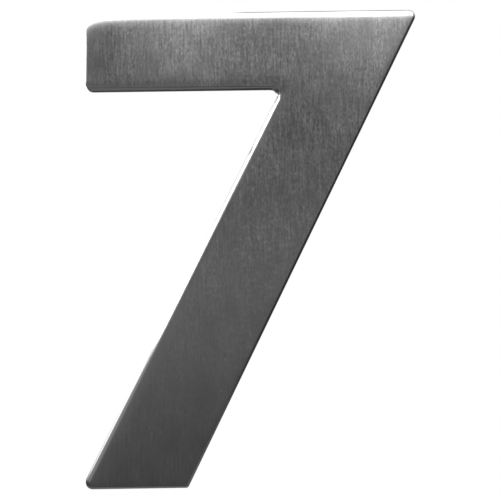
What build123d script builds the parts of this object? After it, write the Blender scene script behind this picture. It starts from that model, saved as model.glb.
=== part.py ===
"""House number: the digit 7 as a shallow shell pressed from one sheet of brushed
stainless steel, with three weld studs inside that hold it to a wall or door.

Millimetres. +Z is up and -Y faces the viewer. The shell's back rim lies on the wall
plane Y = 0, and the origin is on that plane, at the centre of the digit's outline.
"""
from build123d import *
import math
import os

# Outline of the digit, seen from the front
HEIGHT = 150.0
BAR_LENGTH = 108.3
BAR_HEIGHT = 25.9
STEM_WIDTH = 32.4  # measured level
LEAN = 26.9  # of the stem from upright, in degrees
CROOK_RADIUS = 2.2  # outer side of the inward corner under the bar

# Section of the pressed sheet
SHEET = 1.0
HOLLOW_DEPTH = 2.0  # from the wall plane to the back of the face
PRESS_RADIUS = 0.8  # inside of the bend between face and rim
CORNER_EASE = 0.4  # by which a corner is rounder than the bend

# Weld studs, M4 with a welding flange
STUD_DIAMETER = 4.0
STUD_LENGTH = 25.0
STUD_CHAMFER = 0.6
FLANGE_DIAMETER = 5.5
FLANGE_THICKNESS = 0.8
END_MARGIN = 13.5  # from the bar's end and from the foot to the nearest stud

# Sizes that follow
DEPTH = HOLLOW_DEPTH + SHEET
EDGE_RADIUS = PRESS_RADIUS + SHEET
CORNER_RADIUS = EDGE_RADIUS + CORNER_EASE
SLOPE = math.tan(math.radians(LEAN))
LEFT = -BAR_LENGTH / 2
RIGHT = BAR_LENGTH / 2
FOOT = -HEIGHT / 2
TOP = HEIGHT / 2
BAR_UNDERSIDE = TOP - BAR_HEIGHT


def stem_right(z):
    """X of the stem's right edge at height z."""
    return RIGHT - (TOP - z) * SLOPE


def stem_left(z):
    """X of the stem's left edge at height z."""
    return stem_right(z) - STEM_WIDTH


def digit_outline():
    """The outer outline as a face on the wall plane, with every corner rounded."""
    crook = (stem_left(BAR_UNDERSIDE), BAR_UNDERSIDE)
    corners = [
        (LEFT, TOP),
        (RIGHT, TOP),
        (stem_right(FOOT), FOOT),
        (stem_left(FOOT), FOOT),
        crook,
        (LEFT, BAR_UNDERSIDE),
    ]
    face = make_face(Polyline(*corners, close=True))
    inward = face.vertices().sort_by_distance((*crook, 0))[0]
    outward = [corner for corner in face.vertices() if corner != inward]
    face = fillet(outward, CORNER_RADIUS)
    inward = face.vertices().sort_by_distance((*crook, 0))[0]
    return Plane.XZ * fillet(inward, CROOK_RADIUS)


def rounded_block(outline, depth, radius):
    """A solid from the wall plane forward, its front edge rounded all the way round."""
    block = extrude(outline, depth, dir=(0, -1, 0))
    front = block.faces().sort_by(Axis.Y)[0]
    return fillet(front.edges(), radius)


def number_shell():
    """The pressed sheet: face, rolled edge and rim, open at the back."""
    outline = digit_outline()
    inner_outline = offset(outline, -SHEET)
    outside = rounded_block(outline, DEPTH, EDGE_RADIUS)
    hollow = rounded_block(inner_outline, HOLLOW_DEPTH, PRESS_RADIUS)
    return outside - hollow


def weld_stud(x, z):
    """A stud along +Y whose flange is welded to the back of the face."""
    flange = extrude(Circle(FLANGE_DIAMETER / 2), FLANGE_THICKNESS)
    shank = extrude(Circle(STUD_DIAMETER / 2), STUD_LENGTH)
    tip = shank.faces().sort_by(Axis.Z)[-1]
    shank = chamfer(tip.edges(), STUD_CHAMFER)
    seat = Plane(origin=(x, -HOLLOW_DEPTH, z), x_dir=(1, 0, 0), z_dir=(0, 1, 0))
    return seat * (flange + shank)


def stud_places():
    """Node name and place (x, z) of each stud, on the middle lines of bar and stem."""
    bar_middle = TOP - BAR_HEIGHT / 2
    foot_stud = FOOT + END_MARGIN
    return {
        "stud_bar_end": (LEFT + END_MARGIN, bar_middle),
        "stud_shoulder": (stem_right(bar_middle) - STEM_WIDTH / 2, bar_middle),
        "stud_foot": (stem_right(foot_stud) - STEM_WIDTH / 2, foot_stud),
    }


os.makedirs("parts", exist_ok=True)
export_step(number_shell(), "parts/number_shell.step")
for name, (x, z) in stud_places().items():
    export_step(weld_stud(x, z), f"parts/{name}.step")
    print(name, "x", round(x, 3), "z", round(z, 3))
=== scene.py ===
import math

import bmesh
import bpy
from bpy.props import FloatProperty, FloatVectorProperty, PointerProperty
from mathutils import Euler, Matrix, Vector


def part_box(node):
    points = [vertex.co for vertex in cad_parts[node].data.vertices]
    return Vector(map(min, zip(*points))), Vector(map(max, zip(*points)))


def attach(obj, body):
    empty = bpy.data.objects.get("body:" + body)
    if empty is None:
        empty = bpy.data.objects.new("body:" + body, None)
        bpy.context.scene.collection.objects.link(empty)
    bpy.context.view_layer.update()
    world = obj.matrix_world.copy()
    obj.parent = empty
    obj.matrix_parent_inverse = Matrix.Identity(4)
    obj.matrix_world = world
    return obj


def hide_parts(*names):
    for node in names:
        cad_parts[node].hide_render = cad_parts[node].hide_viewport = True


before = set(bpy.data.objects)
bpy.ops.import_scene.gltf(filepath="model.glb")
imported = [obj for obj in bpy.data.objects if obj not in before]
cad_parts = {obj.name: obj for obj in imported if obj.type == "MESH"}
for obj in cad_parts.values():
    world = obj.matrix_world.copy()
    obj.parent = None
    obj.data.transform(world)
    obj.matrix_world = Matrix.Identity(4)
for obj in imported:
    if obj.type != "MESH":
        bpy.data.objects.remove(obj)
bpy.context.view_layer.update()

bl_info = {
    "name": "House Number Seven",
    "version": (1, 0, 0),
    "blender": (4, 5, 0),
    "location": "3D View > Sidebar > House Number",
    "description": "Dresses the solids of a pressed stainless steel house number and sets its stage",
    "category": "Object",
}

MM = 0.001
SHELL = "number_shell"
STUDS = ("stud_bar_end", "stud_shoulder", "stud_foot")
SHELL_LOW, SHELL_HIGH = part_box(SHELL)
STUD_LOW, STUD_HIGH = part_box(STUDS[0])
BAR_LENGTH = 108.3 * MM  # to the sharp upper right corner

# Numbers of the shell's materials
OUTSIDE, INSIDE, RIM = range(3)

# How fine the shell's mesh is
ARC_STEPS = 10
ROLL_STEPS = 14
BEND_STEPS = 6
FACE_INSETS = (0.2, 0.4, 0.6, 0.9, 1.2, 1.6, 2.1, 2.7, 3.4)  # rings past the roll, in millimetres
LEVEL_GAP = 2.9 * MM
UPRIGHT_GAP = 3.0 * MM
SHORTEST_EDGE = 0.06 * MM

# Width of the roll as a share of its height. Each corner, clockwise from the upper left one, has a share
# for the edge before it and one for the edge after it.
ROLL_WIDTHS = ((0.15, 1.0), (0.85, 0.5), (0.5, 0.5), (0.55, 0.98), (0.97, 0.1), (0.4, 0.15))
EVEN_WIDTHS = ((1.0, 1.0),) * 6

# How the face falls back towards its edges: how far, and over what distance that dies away
FACE_RISE, FACE_EASE = 0.06 * MM, 2.5 * MM
CROWN_EASE = 4.5 * MM
DROOP_EASE = 4.0 * MM
BUFF_SOFTNESS = 1.1 * MM  # of the bend between the face and the strip that buffing tipped
END_FALL, END_EASE = 0.12 * MM, 1.5 * MM
RIGHT_FALL, RIGHT_EASE = 0.1 * MM, 2.0 * MM
STEM_FALL, STEM_EASE = 0.38 * MM, 2.0 * MM
CROOK_BLEND = 3.0 * MM  # how far bar and stem run into each other, each way

# The studs' mesh
CORE_STEPS = 40
TURN_STEPS = 24
STUD_BEVEL = 0.12 * MM  # on the flange and under the thread

# The stage, in metres
FLOOR_RADIUS = 2.4
FLOOR_HEIGHT = -1.5
# Place, size and tilt of each soft light, which shines straight down when it isn't tilted
LAMPS = {
    "overhead": ((-0.02, -0.1655, 0.3), (0.6, 0.342), 0.0),
    "rear": ((-0.19, 0.087, 0.3), (0.36, 0.141), 0.0),
    "left": ((-1.5, -0.15, 1.2), (1.28, 2.9), -math.pi / 2),
}
# Brightness of the studio walls by the upward part of the direction that they are seen in
WALL_LEVELS = (
    (-0.45, 0.2), (-0.38, 0.22), (-0.215, 0.26), (-0.13, 0.3), (-0.08, 0.4), (-0.01, 0.46), (0.06, 0.54),
    (0.11, 0.55), (0.186, 0.47), (0.235, 0.36), (0.265, 0.34), (0.29, 0.40), (0.33, 0.74), (0.36, 0.70),
    (0.43, 0.82), (0.5, 1.08), (0.57, 1.1), (0.65, 0.62), (0.8, 0.62), (0.93, 1.1),
)


def length(name, description, default):
    """A property for a length of the object, in metres."""
    return FloatProperty(name=name, description=description, default=default,
                         subtype="DISTANCE", unit="LENGTH", precision=5)


def angle(name, description, degrees):
    """A property for an angle, given here in degrees."""
    return FloatProperty(name=name, description=description, default=math.radians(degrees),
                         subtype="ANGLE", unit="ROTATION")


def share(name, description, default, high=1.0):
    """A property for a plain number, such as a roughness or a strength."""
    return FloatProperty(name=name, description=description, default=default, min=0.0, max=high)


def colour(name, description, default):
    """A property for a colour, in linear light."""
    return FloatVectorProperty(name=name, description=description, default=default, size=3,
                               subtype="COLOR", min=0.0, max=1.0)


class DigitSizes(bpy.types.PropertyGroup):
    """Sizes of the pressed shell."""

    top: length("Top edge", "Height of the top edge above the middle", SHELL_HIGH.z)
    foot: length("Foot edge", "Height of the foot edge, below the middle", SHELL_LOW.z)
    left: length("Bar end", "Place of the bar's free end", SHELL_LOW.x)
    bar_length: length("Bar length", "Free end to the sharp upper right corner", BAR_LENGTH)
    bar_height: length("Bar height", "Top edge to the bar's underside", 25.9 * MM)
    stem_width: length("Stem width", "Width of the stem, measured level", 32.4 * MM)
    lean: angle("Lean", "Lean of the stem from upright", 26.9)
    depth: length("Depth", "Wall plane to the front of the face", -SHELL_LOW.y)
    sheet: length("Sheet", "Thickness of the pressed sheet", 1.0 * MM)
    corner: length("Corner", "Radius of the outline's outward corners at the rim", 2.2 * MM)
    crook: length("Crook", "Radius of the inward corner under the bar", 2.2 * MM)
    roll: length("Roll", "Height of the rolled front edge", 1.8 * MM)
    crown: length("Crown", "How far the whole face falls back towards the top edge", 0.22 * MM)
    buffed: length("Buffed strip", "Width of the strip along the top edge that buffing tipped", 1.88 * MM)
    buff_tilt: angle("Buffed tilt", "How far that strip tips back", 8.0)
    droop: length("Droop", "How much wider that strip is at the upper left corner", 3.1 * MM)
    edge_break: length("Edge break", "Rounding of the trimmed rim", 0.1 * MM)


class SteelFinish(bpy.types.PropertyGroup):
    """Colours and textures of the steel."""

    # The face's grey is darker than bare steel: it holds painted shade as well as the steel's own colour
    face: colour("Brushed face", "Colour of the brushed front", (0.19, 0.19, 0.19))
    inside: colour("Mill inside", "Colour of the unpolished back of the sheet", (0.34, 0.335, 0.325))
    stud: colour("Stud", "Colour of the rolled studs", (0.42, 0.41, 0.39))
    roughness: share("Roughness", "Roughness of the brushed face", 0.26)
    grain: share("Grain", "How much the brush lines draw out what the face mirrors", 0.7)
    streak_width: length("Streak width", "Width of a brush line", 0.6 * MM)
    streak_length: length("Streak length", "Length of a brush line", 6.0 * MM)


class StudSizes(bpy.types.PropertyGroup):
    """Sizes of the threaded weld studs."""

    seat: length("Seat", "Where the flange meets the back of the face", STUD_LOW.y)
    tip: length("Tip", "Where the stud ends, behind the wall plane", STUD_HIGH.y)
    flange: length("Flange", "Radius of the welding flange", (STUD_HIGH.x - STUD_LOW.x) / 2)
    flange_height: length("Flange height", "Thickness of the welding flange", 0.8 * MM)
    crest: length("Crest", "Radius over the thread", 2.0 * MM)
    root: length("Root", "Radius in the thread's groove", 1.57 * MM)
    pitch: length("Pitch", "Distance from turn to turn", 0.7 * MM)
    chamfer: length("Chamfer", "Chamfer of the tip", 0.6 * MM)


class StudioLook(bpy.types.PropertyGroup):
    """Camera, light and floor."""

    distance: length("Camera distance", "From the digit's face to the camera", 216.7 * MM)
    camera_x: length("Camera across", "Camera to the left of the middle", -3.06 * MM)
    camera_z: length("Camera height", "Camera below the middle", -26.54 * MM)
    pitch: angle("Camera pitch", "How far the camera looks up", 6.17)
    yaw: angle("Camera yaw", "How far the camera turns", -0.24)
    roll: angle("Camera roll", "How far the camera tips sideways", 0.87)
    focal: share("Focal length", "In pixels of an image that is 500 pixels wide", 700.0, 5000.0)
    floor: colour("Floor", "Colour of the floor", (0.42, 0.42, 0.42))
    overhead: share("Overhead light", "Power of the soft light above, in watts", 4.2, 1000.0)
    rear: share("Rear light", "Power of the soft light above and behind, in watts", 1.0, 1000.0)
    left: share("Left light", "Power of the soft light on the left, in watts", 68.0, 1000.0)


class Wire:
    """A shader value. Arithmetic on it adds Math nodes to its tree."""

    def __init__(self, graph, socket):
        self.graph = graph
        self.socket = socket

    def math(self, operation, *values):
        inputs = dict(enumerate((self, *values)))
        return self.graph.node("ShaderNodeMath", {"operation": operation}, inputs)[0]

    def __add__(self, other):
        return self.math("ADD", other)

    def __mul__(self, other):
        return self.math("MULTIPLY", other)

    def __sub__(self, other):
        return self.math("SUBTRACT", other)

    def __rsub__(self, other):
        return self.graph.node("ShaderNodeMath", {"operation": "SUBTRACT"}, {0: other, 1: self})[0]

    def __truediv__(self, other):
        return self.math("DIVIDE", other)

    __radd__ = __add__
    __rmul__ = __mul__


class Outputs:
    """The outputs of a made node, as wires, by name or number."""

    def __init__(self, graph, node):
        self.graph = graph
        self.node = node

    def __getitem__(self, key):
        return Wire(self.graph, self.node.outputs[key])


class Graph:
    """Builds a node tree from Python calls."""

    def __init__(self, tree):
        self.tree = tree
        tree.nodes.clear()

    def node(self, kind, settings=None, inputs=None):
        """Add a node: its settings first, then the values or wires of its sockets."""
        made = self.tree.nodes.new(kind)
        for name, value in (settings or {}).items():
            if name == "stops":
                fill_ramp(made.color_ramp, value)
            else:
                setattr(made, name, value)
        for key, value in (inputs or {}).items():
            if isinstance(value, Wire):
                self.tree.links.new(value.socket, made.inputs[key])
            else:
                made.inputs[key].default_value = value
        return Outputs(self, made)

    def blend(self, factor, first, second):
        """Mix two colours."""
        return self.node("ShaderNodeMix", {"data_type": "RGBA"}, {0: factor, 6: first, 7: second})[2]

    def scale(self, tint, strength):
        """A colour times a number."""
        inputs = {0: tuple(tint), "Scale": strength}
        return self.node("ShaderNodeVectorMath", {"operation": "SCALE"}, inputs)[0]

    def fade(self, value, low, high):
        """0 on the far side of low, 1 on the far side of high, smooth between. Low may be the larger."""
        settings = {"interpolation_type": "SMOOTHSTEP", "clamp": True}
        return self.node("ShaderNodeMapRange", settings, {0: value, 1: low, 2: high})[0]

    def here(self):
        """The point being shaded, in the object's own coordinates."""
        return self.node("ShaderNodeTexCoord")["Object"]

    def split(self, vector):
        """The three parts of a vector."""
        parts = self.node("ShaderNodeSeparateXYZ", None, {0: vector})
        return parts[0], parts[1], parts[2]

    def clouds(self, where, cell, detail, roughness=0.5):
        """Noise whose features measure cell = (x, y, z) in metres."""
        density = [1 / size for size in cell]
        fitted = self.node("ShaderNodeMapping", None, {"Vector": where, "Scale": density})[0]
        return self.node("ShaderNodeTexNoise", None,
                         {"Vector": fitted, "Scale": 1.0, "Detail": detail, "Roughness": roughness})[0]

    def distance(self, first, second):
        """Distance between two points."""
        return self.node("ShaderNodeVectorMath", {"operation": "DISTANCE"}, {0: first, 1: second})["Value"]


def fill_ramp(ramp, stops):
    """Set a colour ramp's stops from (place, brightness) pairs."""
    while len(ramp.elements) < len(stops):
        ramp.elements.new(1.0)
    for element, (place, level) in zip(ramp.elements, stops):
        element.position = place
        element.color = grey(level)


def grey(level):
    """A grey of the given brightness, as a colour with full alpha."""
    return (level, level, level, 1.0)


def new_material(name):
    """An empty node material and its graph."""
    material = bpy.data.materials.new(name)
    material.use_nodes = True
    return material, Graph(material.node_tree)


def finish_steel(graph, tint, roughness, relief, grain=0.0):
    """Close a steel graph: metal of the given colour, roughness and relief = (heights, strength, depth)."""
    heights, strength, depth = relief
    bump = {"Strength": strength, "Distance": depth, "Height": heights}
    normal = graph.node("ShaderNodeBump", None, bump)[0]
    metal = graph.node("ShaderNodeBsdfPrincipled", None, {
        "Base Color": tint, "Metallic": 1.0, "Roughness": roughness, "Anisotropic": grain, "Normal": normal})
    graph.node("ShaderNodeOutputMaterial", None, {"Surface": metal[0]})


def brushed_face(finish):
    """The front: upright brush lines, cloudy patches, a few bright nicks, and painted light and shade along
    the bar and below the crook.
    """
    material, graph = new_material("brushed_face")
    where = graph.here()
    x, y, z = graph.split(where)
    rolled = graph.fade(y, -2.8 * MM, -2.5 * MM)
    buffed = graph.fade(y, -2.94 * MM, -2.78 * MM)
    width, run = finish.streak_width, finish.streak_length
    long_lines = graph.clouds(where, (width, width * 4, run), 1.0, 0.5) - 0.5
    short_lines = graph.clouds(where, (width * 0.9, width * 4, run * 0.2), 1.0, 0.5) - 0.5
    dashes = graph.fade(graph.clouds(where, (width, width * 4, run * 0.2), 0.0), 0.6, 0.8)
    nicks = graph.fade(graph.clouds(where, (0.0011, 0.003, 0.0018), 0.0), 0.80, 0.88)
    patches = graph.clouds(where, (0.007, 0.007, 0.010), 2.0, 0.5) - 0.5
    # The lines are fainter low on the stem, at the bar's free end and where the face is buffed
    upper = graph.fade(z, -0.045, 0.03) * 0.75 + 0.25
    worn = graph.fade(x, -0.052, -0.045) * 0.7 + 0.3
    lines = (long_lines * 0.65 + short_lines * 1.2 + dashes * 0.3) * (patches * 2.0 + 1.0) * upper * worn
    lines = lines * (1.0 - buffed * 0.85)
    # Painted light and shade: broad upright bands along the bar, lighter and darker, from its free end to the
    # right
    painted_light_bands = graph.node("ShaderNodeValToRGB", {"stops": [
        (0.0, 0.52), (0.07, 0.56), (0.2, 0.96), (0.32, 1.04), (0.47, 0.8), (0.6, 0.81), (0.8, 1.06),
        (1.0, 1.25)
    ]}, {0: x / BAR_LENGTH + 0.5})[0]
    in_bar = graph.fade(z, 0.035, 0.062) * (1.0 - buffed)
    # Painted highlight: the right part of the bar is lightened
    painted_highlight_end = graph.fade(x, 0.012, 0.035) * graph.fade(z, 0.050, 0.066)
    # Painted shade: a soft round darker patch on the stem below the crook
    painted_shade_crook = graph.fade(graph.distance(where, (0.013, -0.003, 0.0385)), 0.014, 0.005)
    light = (lines * 0.8 + nicks * 0.5 + patches * 0.25) * (1.0 - rolled) + 1.0
    light = light + painted_highlight_end * 0.22 - painted_shade_crook * 0.18
    tint = graph.scale(finish.face, light * ((painted_light_bands - 1.0) * in_bar + 1.0))
    uneven = (patches * 0.1 + long_lines * 0.1) * (1.0 - rolled)
    roughness = uneven + finish.roughness - buffed * 0.06 - rolled * 0.08
    finish_steel(graph, tint, roughness, (lines * (1.0 - rolled), 0.1, 0.005 * MM), finish.grain)
    return material


def mill_inside(finish, studs):
    """The back of the sheet: dull, finely pebbled, with heat rings round the welds."""
    material, graph = new_material("mill_inside")
    where = graph.here()
    pebbles = graph.clouds(where, (0.0007, 0.0007, 0.0011), 3.0, 0.6)
    patches = graph.clouds(where, (0.014, 0.014, 0.02), 3.0, 0.55)
    light = (pebbles - 0.5) * 0.3 + (patches - 0.5) * 0.3 + 1.0
    tint = graph.scale(finish.inside, light)
    wobble = (graph.clouds(where, (0.004, 0.004, 0.004), 2.0, 0.5) - 0.5) * 1.6 * MM
    for centre in studs:
        away = graph.distance(where, centre) + wobble
        straw = graph.fade(away, 6.4 * MM, 5.2 * MM)
        blue = graph.fade(away, 4.9 * MM, 4.1 * MM)
        tint = graph.blend(straw * 0.6, tint, (0.36, 0.25, 0.12, 1.0))
        tint = graph.blend(blue * 0.6, tint, (0.10, 0.13, 0.22, 1.0))
    roughness = (pebbles - 0.5) * 0.15 + 0.42
    finish_steel(graph, tint, roughness, (pebbles, 0.25, 0.02 * MM))
    return material


def cut_rim(finish):
    """The trimmed rim: a sheared edge with fine lines round it."""
    material, graph = new_material("cut_rim")
    where = graph.here()
    lines = graph.clouds(where, (0.0003, 0.0003, 0.0003), 3.0, 0.7)
    wear = graph.clouds(where, (0.006, 0.006, 0.006), 2.0, 0.5)
    tint = graph.scale(finish.inside, (lines - 0.5) * 0.5 + (wear - 0.5) * 0.3 + 1.1)
    roughness = (wear - 0.5) * 0.2 + 0.34
    finish_steel(graph, tint, roughness, (lines, 0.3, 0.02 * MM))
    return material


def stud_steel(finish, studs, crest):
    """The studs: bright crests, darker grooves and a browned flange."""
    material, graph = new_material("stud_steel")
    where = graph.here()
    x, y, z = graph.split(where)
    flat = graph.node("ShaderNodeCombineXYZ", None, {0: x, 1: 0.0, 2: z})[0]
    away = graph.distance(flat, (studs[0].x, 0.0, studs[0].z))
    for centre in studs[1:]:
        away = away.math("MINIMUM", graph.distance(flat, (centre.x, 0.0, centre.z)))
    groove = graph.fade(away, crest * 0.97, crest * 0.8)
    grime = graph.clouds(where, (0.0012, 0.0012, 0.0012), 3.0, 0.6)
    light = (grime - 0.5) * 0.35 + 1.0 - groove * 0.35
    tint = graph.scale(finish.stud, light)
    burnt = graph.fade(y, studs[0].y + 1.6 * MM, studs[0].y + 0.4 * MM)
    tint = graph.blend(burnt * 0.7, tint, (0.17, 0.13, 0.10, 1.0))
    roughness = groove * 0.15 + (grime - 0.5) * 0.15 + 0.3
    finish_steel(graph, tint, roughness, (grime, 0.2, 0.01 * MM))
    return material


def sharp_corners(sizes):
    """Sharp corners of the outline, clockwise from the top left, as (x, z)."""
    slope = math.tan(sizes.lean)
    right = sizes.left + sizes.bar_length
    foot_right = right - (sizes.top - sizes.foot) * slope
    underside = sizes.top - sizes.bar_height
    crook = right - sizes.bar_height * slope - sizes.stem_width
    return [Vector(pair) for pair in (
        (sizes.left, sizes.top),
        (right, sizes.top),
        (foot_right, sizes.foot),
        (foot_right - sizes.stem_width, sizes.foot),
        (crook, underside),
        (sizes.left, underside),
    )]


def inset_corners(corners, inset, widths):
    """The corners moved inwards, by each edge's share of the inset."""
    moved = []
    for (before, corner, after), (first, second) in zip(neighbours(corners), widths):
        one = inward((corner - before).normalized())
        two = inward((after - corner).normalized())
        lean = one.dot(two)
        shift = one * (first - lean * second) + two * (second - lean * first)
        moved.append(corner + shift * inset / (1.0 - lean * lean))
    return moved


def neighbours(items):
    """Each item with the one before it and the one after it, round a loop."""
    return zip(items[-1:] + items[:-1], items, items[1:] + items[:1])


def inward(direction):
    """The way into the digit from an edge that runs clockwise."""
    return Vector((direction.y, -direction.x))


def rounded_ring(bm, corners, radii, height, steps):
    """A closed loop of edges at a height off the wall, with an arc at every corner."""
    known = set(bm.edges)
    ends = []
    for (before, corner, after), radius in zip(neighbours(corners), radii):
        towards = (corner - before).normalized()
        away = (after - corner).normalized()
        turn = towards.angle_signed(away)
        start = corner - towards * radius * math.tan(abs(turn) / 2)
        centre = start + inward(towards) * math.copysign(radius, turn)
        first = bm.verts.new((start.x, -height, start.y))
        spun = bmesh.ops.spin(bm, geom=[first], cent=(centre.x, -height, centre.y), axis=(0, 1, 0),
                              dvec=(0, 0, 0), angle=turn, steps=steps, use_merge=False)
        last = [item for item in spun["geom_last"] if isinstance(item, bmesh.types.BMVert)][0]
        ends.append((first, last))
    for (_, last), (first, _) in zip(ends, ends[1:] + ends[:1]):
        bm.edges.new((last, first))
    return [edge for edge in bm.edges if edge not in known]


def outer_section(sizes):
    """The outside of the pressed section, from the wall up, as (inset, height)."""
    spring = sizes.depth - FACE_RISE - sizes.roll
    points = [(sizes.edge_break, 0.0), (0.0, sizes.edge_break), (0.0, 3 * sizes.edge_break)]
    for step in range(ROLL_STEPS + 1):
        bend = math.pi / 2 * step / ROLL_STEPS
        points.append((sizes.roll * (1 - math.cos(bend)), spring + sizes.roll * math.sin(bend)))
    for along in FACE_INSETS:
        points.append((sizes.roll + along * MM, sizes.depth - FACE_RISE * math.exp(-along * MM / FACE_EASE)))
    return points


def inner_section(sizes):
    """The inside of the pressed section, from the wall up, as (inset, height)."""
    roof = sizes.depth - sizes.sheet
    bend_radius = 0.8 * MM
    lip = 0.03 * MM
    points = [(sizes.sheet - sizes.edge_break, lip), (sizes.sheet, sizes.edge_break + lip)]
    for step in range(BEND_STEPS + 1):
        bend = math.pi / 2 * step / BEND_STEPS
        points.append((sizes.sheet + bend_radius * (1 - math.cos(bend)),
                       roof - bend_radius + bend_radius * math.sin(bend)))
    return points


def press_section(bm, sizes, section, widths, side):
    """Join rings at a section's points into a skin, closed at its end. Returns the ring at its start."""
    known = set(bm.faces)
    corners = sharp_corners(sizes)
    rings = []
    for inset, height in section:
        # The upper left corner widens inwards, and the foot's right corner is the sharpest
        plain = sizes.corner - min(inset, sizes.roll) * 0.5
        foot_right = sizes.corner * 0.4 - min(inset, sizes.roll) * 0.2
        radii = [sizes.corner + inset * 1.5, plain, foot_right, plain, sizes.crook + inset * 0.55, plain]
        rings.append(rounded_ring(bm, inset_corners(corners, inset, widths), radii, height, ARC_STEPS))
    for lower, upper in zip(rings, rings[1:]):
        bridge(bm, lower, upper)
    bmesh.ops.edgeloop_fill(bm, edges=rings[-1])
    paint([face for face in bm.faces if face not in known], side)
    return rings[0]


def fall_back(bm, sizes):
    """Let the face fall back a little towards the edges that the press and the polishing wheel soften."""
    corners = sharp_corners(sizes)
    stem_foot, crook = corners[3], corners[4]
    stem_edge = inward((crook - stem_foot).normalized())
    right_edge = inward((corners[2] - corners[1]).normalized())
    for vert in bm.verts:
        place = Vector((vert.co.x, vert.co.z))
        from_top = sizes.top - place.y
        from_end = place.x - sizes.left
        from_stem = (place - stem_foot).dot(stem_edge)
        from_right = (place - corners[1]).dot(right_edge)
        in_bar = smooth_step(crook.y - CROOK_BLEND, crook.y + CROOK_BLEND, place.y)
        reach = sizes.buffed + sizes.droop * math.exp(-from_end / DROOP_EASE)
        fall = sizes.buff_tilt * BUFF_SOFTNESS * math.log1p(math.exp((reach - from_top) / BUFF_SOFTNESS))
        fall += sizes.crown * math.exp(-from_top / CROWN_EASE)
        fall += in_bar * END_FALL * math.exp(-from_end / END_EASE)
        fall += in_bar * RIGHT_FALL * math.exp(-from_right / RIGHT_EASE)
        fall += (1 - in_bar) * STEM_FALL * math.exp(-max(from_stem, 0.0) / STEM_EASE)
        vert.co.y += fall * max(0.0, -vert.co.y / sizes.depth) ** 2


def smooth_step(low, high, value):
    """0 under low, 1 over high, smooth between."""
    way = min(1.0, max(0.0, (value - low) / (high - low)))
    return way * way * (3 - 2 * way)


def paint(faces, side):
    """Give faces the material of one side of the sheet."""
    for face in faces:
        face.material_index = side


def bridge(bm, lower, upper):
    """Join two loops by a band of faces."""
    return bmesh.ops.bridge_loops(bm, edges=lower + upper, use_pairs=False, use_cyclic=False, use_merge=False,
                                  merge_factor=0.5, twist_offset=0)["faces"]


def slice_across(bm, axis, places, keep=lambda face: True):
    """Cut the faces that keep names across an axis at each place."""
    normal = Vector((0, 0, 0))
    normal[axis] = 1.0
    for place in places:
        faces = [face for face in bm.faces if keep(face)]
        edges = {edge for face in faces for edge in face.edges}
        verts = {vert for face in faces for vert in face.verts}
        bmesh.ops.bisect_plane(bm, geom=faces + list(edges) + list(verts), dist=1e-7,
                               plane_co=normal * place, plane_no=normal,
                               use_snap_center=False, clear_outer=False, clear_inner=False)


def steps_between(low, high, gap):
    """Evenly spaced places between two ends, without the ends."""
    count = max(1, round((high - low) / gap))
    return [low + (high - low) * step / count for step in range(1, count)]


def make_piece(name, bm, materials, node):
    """Turn a bmesh into a smooth piece that stands in for a CAD node."""
    mesh = bpy.data.meshes.new(name)
    bm.to_mesh(mesh)
    bm.free()
    for material in materials:
        mesh.materials.append(material)
    mesh.polygons.foreach_set("use_smooth", [True] * len(mesh.polygons))
    piece = bpy.data.objects.new(name, mesh)
    bpy.context.scene.collection.objects.link(piece)
    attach(piece, "root")
    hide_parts(node)


def stud_centres():
    """The middle of each stud's seat on the back of the face."""
    centres = []
    for node in STUDS:
        low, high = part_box(node)
        centres.append(Vector(((low.x + high.x) / 2, low.y, (low.z + high.z) / 2)))
    return centres


class HOUSENUMBER_OT_press_shell(bpy.types.Operator):
    """Press the digit's shell: rolled edge, crowned face, hollow back and trimmed rim"""

    bl_idname = "housenumber.press_shell"
    bl_label = "Press the shell"

    def execute(self, context):
        sizes = context.scene.digit_sizes
        bm = bmesh.new()
        outer_rim = press_section(bm, sizes, outer_section(sizes), ROLL_WIDTHS, OUTSIDE)
        inner_rim = press_section(bm, sizes, inner_section(sizes), EVEN_WIDTHS, INSIDE)
        paint(bridge(bm, outer_rim, inner_rim), RIM)
        underside = sizes.top - sizes.bar_height
        slice_across(bm, 2, steps_between(sizes.foot, sizes.top, LEVEL_GAP))
        slice_across(bm, 0, steps_between(sizes.left, sizes.left + sizes.bar_length, UPRIGHT_GAP),
                     lambda face: face.calc_center_median().z > underside - sizes.crook)
        bmesh.ops.dissolve_degenerate(bm, dist=SHORTEST_EDGE, edges=bm.edges)
        fall_back(bm, sizes)
        bmesh.ops.recalc_face_normals(bm, faces=bm.faces)
        finish = context.scene.steel_finish
        materials = [brushed_face(finish), mill_inside(finish, stud_centres()), cut_rim(finish)]
        make_piece("pressed_shell", bm, materials, SHELL)
        return {"FINISHED"}


class HOUSENUMBER_OT_thread_studs(bpy.types.Operator):
    """Turn and thread the three weld studs"""

    bl_idname = "housenumber.thread_studs"
    bl_label = "Thread the studs"

    def execute(self, context):
        sizes = context.scene.stud_sizes
        centres = stud_centres()
        steel = stud_steel(context.scene.steel_finish, centres, sizes.crest)
        for node, centre in zip(STUDS, centres):
            bm = bmesh.new()
            turn_core(bm, centre, sizes)
            cut_thread(bm, centre, sizes)
            bmesh.ops.recalc_face_normals(bm, faces=bm.faces)
            make_piece("threaded_" + node, bm, [steel], node)
        return {"FINISHED"}


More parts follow.
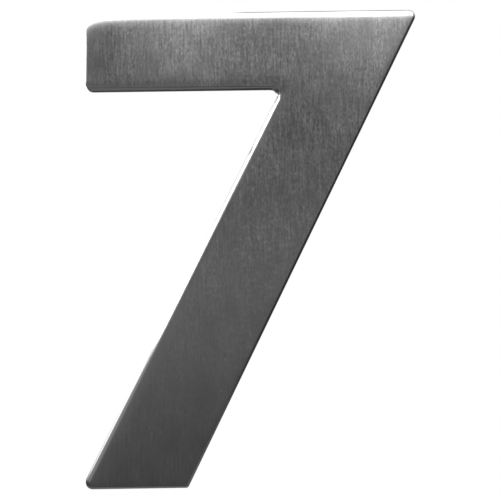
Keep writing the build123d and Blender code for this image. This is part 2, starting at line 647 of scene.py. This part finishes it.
def turn_core(bm, centre, sizes):
    """The stud without its thread: flange, neck, core and chamfered tip."""
    seat, tip, small = sizes.seat, sizes.tip, STUD_BEVEL
    top = seat + sizes.flange_height
    profile = [
        (0.0, seat),
        (sizes.flange - small, seat),
        (sizes.flange, seat + small),
        (sizes.flange, top - 2 * small),
        (sizes.flange - 2 * small, top),
        (sizes.crest + small, top),
        (sizes.root + small, top + 2 * small),
        (sizes.root, top + 4 * small),
        (sizes.root, tip - sizes.chamfer),
        (sizes.root - sizes.chamfer * 0.7, tip),
        (0.0, tip),
    ]
    verts = [bm.verts.new((centre.x + radius, y, centre.z)) for radius, y in profile]
    edges = [bm.edges.new(pair) for pair in zip(verts, verts[1:])]
    bmesh.ops.spin(bm, geom=verts + edges, cent=(centre.x, 0, centre.z), axis=(0, 1, 0), dvec=(0, 0, 0),
                   angle=2 * math.pi, steps=CORE_STEPS, use_merge=True)
    bmesh.ops.remove_doubles(bm, verts=bm.verts, dist=1e-6)


def cut_thread(bm, centre, sizes):
    """The thread as one closed ridge wound round the core, fading out at both ends."""
    start = sizes.seat + sizes.flange_height + sizes.pitch
    end = sizes.tip - sizes.chamfer * 0.5
    steps = round((end - start) / sizes.pitch * TURN_STEPS)
    foot, crest = sizes.pitch * 0.42, sizes.pitch * 0.08
    sunk = sizes.root - 0.1 * MM
    section = [(sunk, -foot), (sizes.crest, -crest), (sizes.crest, crest), (sunk, foot)]
    verts = [bm.verts.new((centre.x + radius, start + along, centre.z)) for radius, along in section]
    edges = [bm.edges.new((a, b)) for a, b in zip(verts, verts[1:] + verts[:1])]
    known = set(bm.verts) - set(verts)
    spun = bmesh.ops.spin(bm, geom=verts + edges, cent=(centre.x, 0, centre.z), axis=(0, 1, 0),
                          dvec=(0, sizes.pitch / TURN_STEPS, 0),
                          angle=2 * math.pi * steps / TURN_STEPS, steps=steps, use_merge=False)
    last = [item for item in spun["geom_last"] if isinstance(item, bmesh.types.BMEdge)]
    bmesh.ops.edgeloop_fill(bm, edges=edges)
    bmesh.ops.edgeloop_fill(bm, edges=last)
    for vert in set(bm.verts) - known:
        gap = min(vert.co.y - start, end - vert.co.y) + foot
        keep = min(1.0, max(0.0, gap / sizes.pitch))
        arm = Vector((vert.co.x - centre.x, 0, vert.co.z - centre.z))
        reach = sunk + (arm.length - sunk) * keep
        vert.co += arm.normalized() * (reach - arm.length)


class HOUSENUMBER_OT_set_stage(bpy.types.Operator):
    """Set the floor, the light and the camera"""

    bl_idname = "housenumber.set_stage"
    bl_label = "Set the stage"

    def execute(self, context):
        look = context.scene.studio_look
        lay_floor(look)
        light_world(context.scene)
        for name, (place, size, tilt) in LAMPS.items():
            hang_lamp(name, place, size, tilt, getattr(look, name))
        aim_camera(context.scene, look)
        context.scene.view_settings.view_transform = "Standard"
        return {"FINISHED"}


def lay_floor(look):
    """A pale round floor, well below the digit."""
    bm = bmesh.new()
    bmesh.ops.create_circle(bm, cap_ends=True, segments=96, radius=FLOOR_RADIUS)
    bmesh.ops.translate(bm, verts=bm.verts, vec=(0, 0, FLOOR_HEIGHT))
    mesh = bpy.data.meshes.new("floor")
    bm.to_mesh(mesh)
    bm.free()
    material, graph = new_material("pale_floor")
    grain = graph.clouds(graph.here(), (0.002, 0.002, 0.002), 2.0, 0.5)
    tint = graph.scale(look.floor, (grain - 0.5) * 0.04 + 1.0)
    surface = graph.node("ShaderNodeBsdfPrincipled", None, {"Base Color": tint, "Roughness": 0.9})
    graph.node("ShaderNodeOutputMaterial", None, {"Surface": surface[0]})
    mesh.materials.append(material)
    floor = bpy.data.objects.new("floor", mesh)
    bpy.context.scene.collection.objects.link(floor)


def light_world(scene):
    """Studio walls by direction from the digit: a white sweep behind it, and greys that its edges mirror."""
    world = bpy.data.worlds.new("studio")
    world.use_nodes = True
    scene.world = world
    graph = Graph(world.node_tree)
    x, y, z = graph.split(graph.node("ShaderNodeTexCoord")["Generated"])
    stops = [(0.5 + 0.5 * place, level) for place, level in WALL_LEVELS]
    tone = graph.node("ShaderNodeValToRGB", {"stops": stops}, {0: z * 0.5 + 0.5})[0]
    # The left wall is bright above eye level, and a little lower towards the camera
    low_left = graph.fade(z, -0.2, 0.05) * graph.fade(y, -0.5, -0.8)
    left_wall = graph.fade(x, -0.3, -0.6) * graph.fade(z, -0.1, 0.2).math("MAXIMUM", low_left)
    tone = graph.blend(left_wall, tone, grey(1.1))
    # The right wall is dark up to a little above eye level, but not towards the camera
    right_wall = graph.fade(x, 0.3, 0.55) * graph.fade(z, 0.35, 0.15) * graph.fade(y, -0.75, -0.55)
    tone = graph.blend(right_wall, tone, grey(0.12))
    # Behind the digit it is dark, a little less so at the far left
    behind = graph.fade(y, 0.35, 0.55)
    far_left = graph.fade(x, -0.3, -0.5) * graph.fade(z, -0.3, -0.2)
    tone = graph.blend(behind, tone, graph.blend(far_left, grey(0.12), grey(0.35)))
    # A bright band just under the left light, which the foot's left edge mirrors
    low_band = graph.fade(z, 0.08, 0.18) * graph.fade(z, 0.38, 0.34)
    low_glow = low_band * graph.fade(x, -0.3, -0.4) * graph.fade(y + z * 3.0, 0.54, 0.82)
    tone = graph.blend(low_glow, tone, grey(5.0))
    # The white sweep that the camera sees, and a grey trim on its upper right that the top edge mirrors
    across = graph.fade(x, -0.354, -0.34) * graph.fade(x, 0.375, 0.355)
    sweep = across * graph.fade(y, 0.0, 0.2) * graph.fade(z, -0.275, -0.255)
    tone = graph.blend(sweep, tone, grey(1.0))
    trim = graph.fade(x, 0.0, 0.25) * graph.fade(z, 0.45, 0.49) * graph.fade(y, 0.3, 0.5)
    tone = graph.blend(trim, tone, grey(0.55))
    light = graph.node("ShaderNodeBackground", None, {"Color": tone, "Strength": 1.0})
    graph.node("ShaderNodeOutputWorld", None, {"Surface": light[0]})


def hang_lamp(name, place, size, tilt, watts):
    """A large soft light, level above the digit or tilted to face it from the side."""
    lamp = bpy.data.lights.new(name, "AREA")
    lamp.shape = "RECTANGLE"
    lamp.size = size[0]
    lamp.size_y = size[1]
    lamp.energy = watts
    holder = bpy.data.objects.new(name, lamp)
    holder.location = place
    holder.rotation_euler.y = tilt
    holder.visible_camera = False
    bpy.context.scene.collection.objects.link(holder)


def aim_camera(scene, look):
    """The photograph's viewpoint: close, a little below the middle and looking slightly up."""
    data = bpy.data.cameras.new("camera")
    data.sensor_width = 36.0
    data.lens = look.focal / 500.0 * data.sensor_width
    data.clip_start = 0.01
    camera = bpy.data.objects.new("camera", data)
    scene.collection.objects.link(camera)
    place = Vector((look.camera_x, SHELL_LOW.y - look.distance, look.camera_z))
    turn = Euler((look.pitch, look.roll, look.yaw), "YXZ").to_matrix() @ Matrix.Rotation(math.pi / 2, 3, "X")
    camera.matrix_world = Matrix.Translation(place) @ turn.to_4x4()
    scene.camera = camera


class HOUSENUMBER_PT_panel(bpy.types.Panel):
    """Sidebar panel with the sizes, the finish and the making steps"""

    bl_idname = "HOUSENUMBER_PT_panel"
    bl_label = "House Number"
    bl_space_type = "VIEW_3D"
    bl_region_type = "UI"
    bl_category = "House Number"

    def draw(self, context):
        for name, group in GROUPS.items():
            box = self.layout.box()
            for item in group.__annotations__:
                box.prop(getattr(context.scene, name), item)
        for operator in OPERATORS:
            self.layout.operator(operator.bl_idname)


GROUPS = {
    "digit_sizes": DigitSizes,
    "stud_sizes": StudSizes,
    "steel_finish": SteelFinish,
    "studio_look": StudioLook,
}
OPERATORS = (HOUSENUMBER_OT_press_shell, HOUSENUMBER_OT_thread_studs, HOUSENUMBER_OT_set_stage)


def register():
    for group in GROUPS.values():
        bpy.utils.register_class(group)
    for operator in OPERATORS:
        bpy.utils.register_class(operator)
    bpy.utils.register_class(HOUSENUMBER_PT_panel)
    for name, group in GROUPS.items():
        setattr(bpy.types.Scene, name, PointerProperty(type=group))


def unregister():
    for name in GROUPS:
        delattr(bpy.types.Scene, name)
    bpy.utils.unregister_class(HOUSENUMBER_PT_panel)
    for operator in reversed(OPERATORS):
        bpy.utils.unregister_class(operator)
    for group in reversed(GROUPS.values()):
        bpy.utils.unregister_class(group)


def main():
    register()
    bpy.ops.housenumber.press_shell()
    bpy.ops.housenumber.thread_studs()
    bpy.ops.housenumber.set_stage()


if __name__ == "__main__":
    main()
